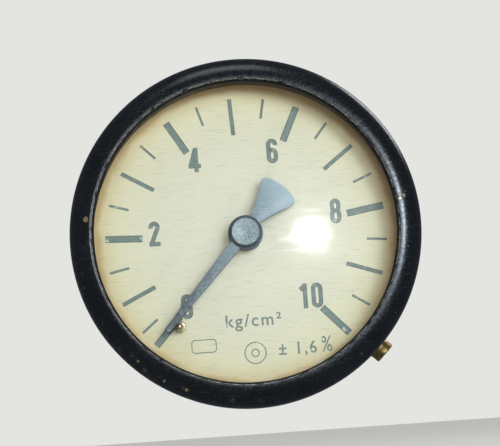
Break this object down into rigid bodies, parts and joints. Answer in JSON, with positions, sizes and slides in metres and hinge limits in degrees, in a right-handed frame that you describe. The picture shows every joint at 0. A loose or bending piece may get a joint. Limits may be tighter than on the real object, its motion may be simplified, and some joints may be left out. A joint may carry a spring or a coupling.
{
  "type": "pressure gauge",
  "caption": "Round dial pressure gauge with a black enamelled case and bezel, ivory 0 to 10 dial, pointer, geared Bourdon movement and a threaded stem at the back.",
  "frame": {"origin": "centre of the stem's shoulder, where the connection thread begins, on the gauge's axis", "axes": "the dial faces -Y and the stem points +Y; +Z is the top of the dial and +X is the reader's right"},
  "size_m": [0.066, 0.0548, 0.066],
  "materials": {
    "enamelled_case": "glossy black stove enamel on pressed steel, chipped at the edges",
    "enamelled_bezel": "glossy blue-black stove enamel on steel, worn through at the edges",
    "brass_screw": "turned brass, tarnished",
    "window_glass": "flat clear glass, finely scratched",
    "rubber": "black rubber, matt",
    "dark_fibre": "brown-black paint, dull",
    "dial_lacquer": "aged ivory lacquer on aluminium, yellowed towards the rim",
    "brass_pin": "turned brass, tarnished",
    "pointer_paint": "dark blue-grey paint, satin",
    "hub_metal": "turned light metal, blotched with age",
    "arbor_steel": "turned steel",
    "movement_brass": "stamped brass sheet",
    "spring_bronze": "rolled bronze strip",
    "screw_steel": "zinc-plated steel, dull",
    "tube_bronze": "drawn bronze tube",
    "stem_brass": "machined brass, dull",
    "fibre_washer": "red-brown vulcanised fibre"
  },
  "bodies": {
    "gauge_body": {"case": "enamelled_case", "bezel_ring": "enamelled_bezel", "bezel_screw": "brass_screw", "bezel_screw_washer": "brass_screw", "glass": "window_glass", "glass_gasket": "rubber", "seat_ring": "dark_fibre", "dial_plate": "dial_lacquer", "stop_pin": "brass_pin", "hairspring": "spring_bronze", "hairspring_stud": "movement_brass", "movement_back_plate": "movement_brass", "movement_front_plate": "movement_brass", "movement_pillars": "movement_brass", "front_plate_screws": "screw_steel", "movement_screws": "screw_steel", "bourdon_tube": "tube_bronze", "stem": "stem_brass", "stem_gasket": "fibre_washer", "case_screws": "screw_steel", "restrictor_screw": "stem_brass"},
    "pointer_shaft": {"pointer": "pointer_paint", "pointer_hub": "hub_metal", "pinion_arbor": "arbor_steel", "hairspring_collet": "movement_brass"},
    "sector": {"sector_gear": "movement_brass", "sector_arbor": "arbor_steel", "sector_link_rivet": "arbor_steel"},
    "link": {"link": "arbor_steel"},
    "tube_end": {"tube_tip": "movement_brass", "tip_link_screw": "screw_steel"}
  },
  "joints": [
    {"name": "pointer_turn", "type": "hinge", "parent": "gauge_body", "child": "pointer_shaft", "pos_m": [0, 0, 0], "axis": [0, 1, 0], "range_deg": [0, 275], "stiffness_Nm_per_rad": 0.002, "deforming": ["hairspring"]},
    {"name": "sector_turn", "type": "hinge", "parent": "gauge_body", "child": "sector", "pos_m": [0.0075, 0, -0.01299], "axis": [0, 1, 0], "range_deg": [-30.6, 0]},
    {"name": "link_swing", "type": "hinge", "parent": "sector", "child": "link", "pos_m": [0.0113, 0, -0.01697], "axis": [0, 1, 0], "range_deg": [0, 32.8]},
    {"name": "tip_swing", "type": "hinge", "parent": "gauge_body", "child": "tube_end", "pos_m": [-0.00244, 0, 0.00589], "axis": [0, 1, 0], "range_deg": [-6.95, 0], "deforming": ["bourdon_tube"]}
  ],
  "couplings": [
    {"joint": "sector_turn", "follows": "pointer_turn", "ratio": -0.11111},
    {"joint": "link_swing", "follows": "pointer_turn", "ratio": 0.11893},
    {"joint": "tip_swing", "follows": "pointer_turn", "ratio": -0.025127}
  ]
}
